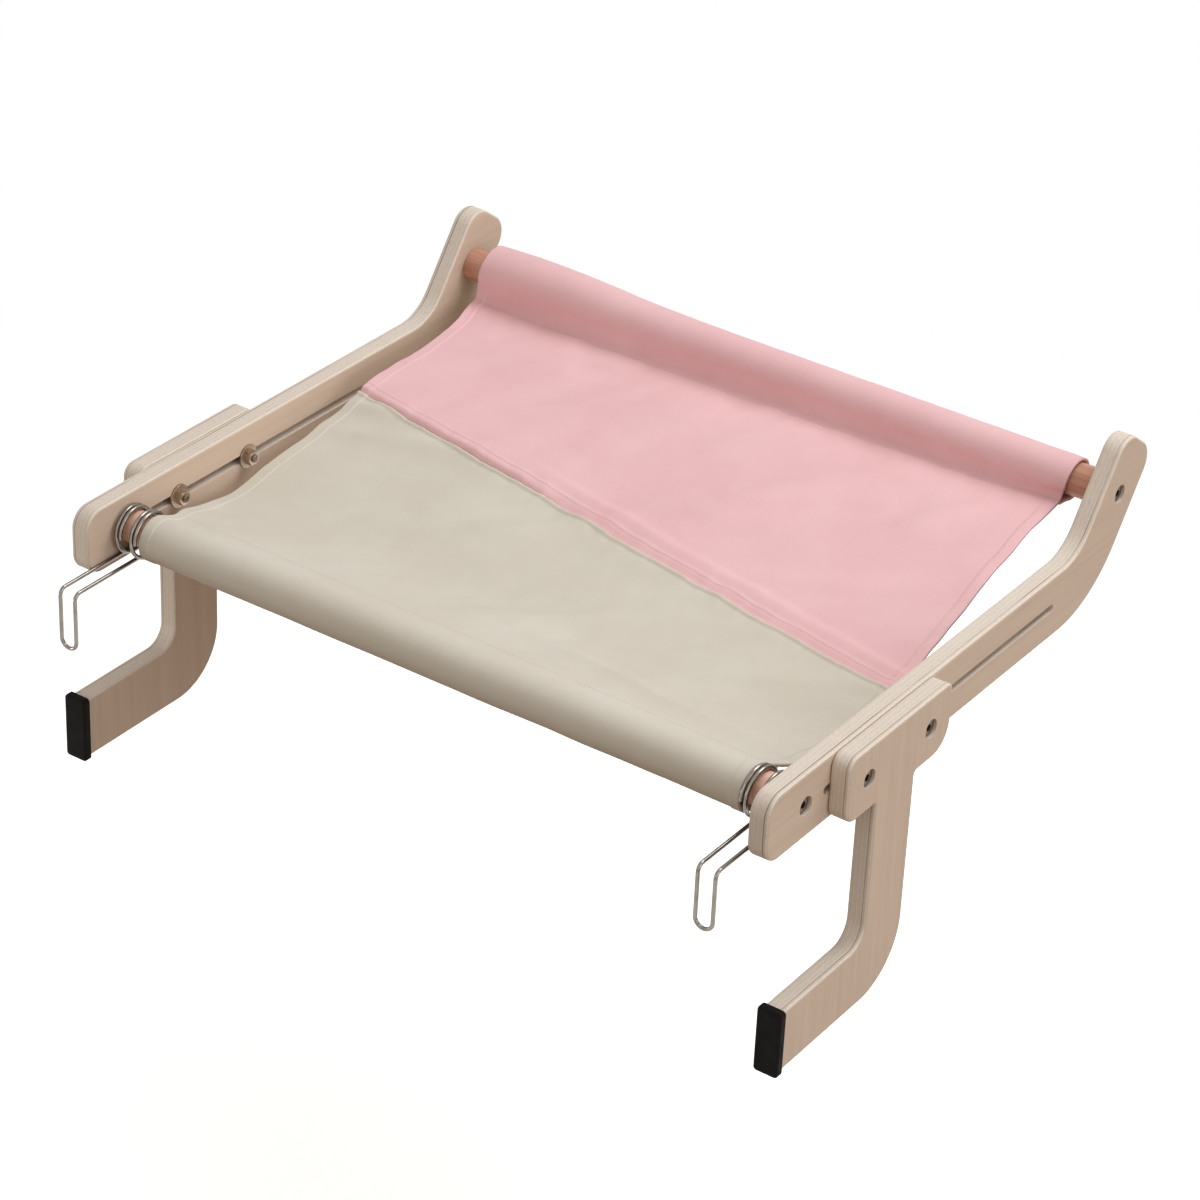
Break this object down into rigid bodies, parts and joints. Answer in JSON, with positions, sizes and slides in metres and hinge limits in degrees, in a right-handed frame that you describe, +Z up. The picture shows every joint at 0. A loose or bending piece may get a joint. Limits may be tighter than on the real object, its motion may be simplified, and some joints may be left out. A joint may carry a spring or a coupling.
{
  "type": "bedside cat hammock",
  "caption": "Canvas cat seat hung between two dowels in bent plywood side arms, with sliding padded legs and wire hooks that hang it on a bed's side board or a sill.",
  "frame": {"origin": "mid width, under the front dowel's axis, on the plane of the side arms' undersides, which lie on the board", "axes": "+X to the right along the dowels, +Y to the back, away from the board, +Z up"},
  "size_m": [0.6142, 0.5116, 0.2804],
  "materials": {
    "plywood": "pale plywood, sanded and sealed, matte",
    "dowel_wood": "warm brown hardwood, satin",
    "canvas_grey": "warm light grey canvas, matte",
    "canvas_pink": "pale pink canvas, matte",
    "spring_wire": "bright plated steel wire",
    "fasteners": "plated steel, semi-gloss",
    "rubber": "black rubber, matte"
  },
  "bodies": {
    "frame": {"front_dowel": "dowel_wood", "rear_dowel": "dowel_wood", "front_canvas": "canvas_grey", "rear_canvas": "canvas_pink", "left_arm": "plywood", "left_front_dowel_bolt": "fasteners", "left_front_insert": "fasteners", "left_rear_dowel_bolt": "fasteners", "left_rear_insert": "fasteners", "right_arm": "plywood", "right_front_dowel_bolt": "fasteners", "right_front_insert": "fasteners", "right_rear_dowel_bolt": "fasteners", "right_rear_insert": "fasteners"},
    "left_leg": {"left_leg": "plywood", "left_pad": "rubber", "left_front_clamp_bolt": "fasteners", "left_front_washer": "fasteners", "left_front_nut": "fasteners", "left_rear_clamp_bolt": "fasteners", "left_rear_washer": "fasteners", "left_rear_nut": "fasteners"},
    "right_leg": {"right_leg": "plywood", "right_pad": "rubber", "right_front_clamp_bolt": "fasteners", "right_front_washer": "fasteners", "right_front_nut": "fasteners", "right_rear_clamp_bolt": "fasteners", "right_rear_washer": "fasteners", "right_rear_nut": "fasteners"},
    "left_hook": {"left_hook": "spring_wire"},
    "right_hook": {"right_hook": "spring_wire"}
  },
  "joints": [
    {"name": "left_leg_slide", "type": "slide", "parent": "frame", "child": "left_leg", "axis": [0, 1, 0], "range_m": [-0.023, 0.183]},
    {"name": "left_hook_hinge", "type": "hinge", "parent": "frame", "child": "left_hook", "pos_m": [-0.264, 0, 0.025], "axis": [1, 0, 0], "range_deg": [-90, 90]},
    {"name": "right_leg_slide", "type": "slide", "parent": "frame", "child": "right_leg", "axis": [0, 1, 0], "range_m": [-0.023, 0.183]},
    {"name": "right_hook_hinge", "type": "hinge", "parent": "frame", "child": "right_hook", "pos_m": [0.264, 0, 0.025], "axis": [1, 0, 0], "range_deg": [-90, 90]}
  ]
}
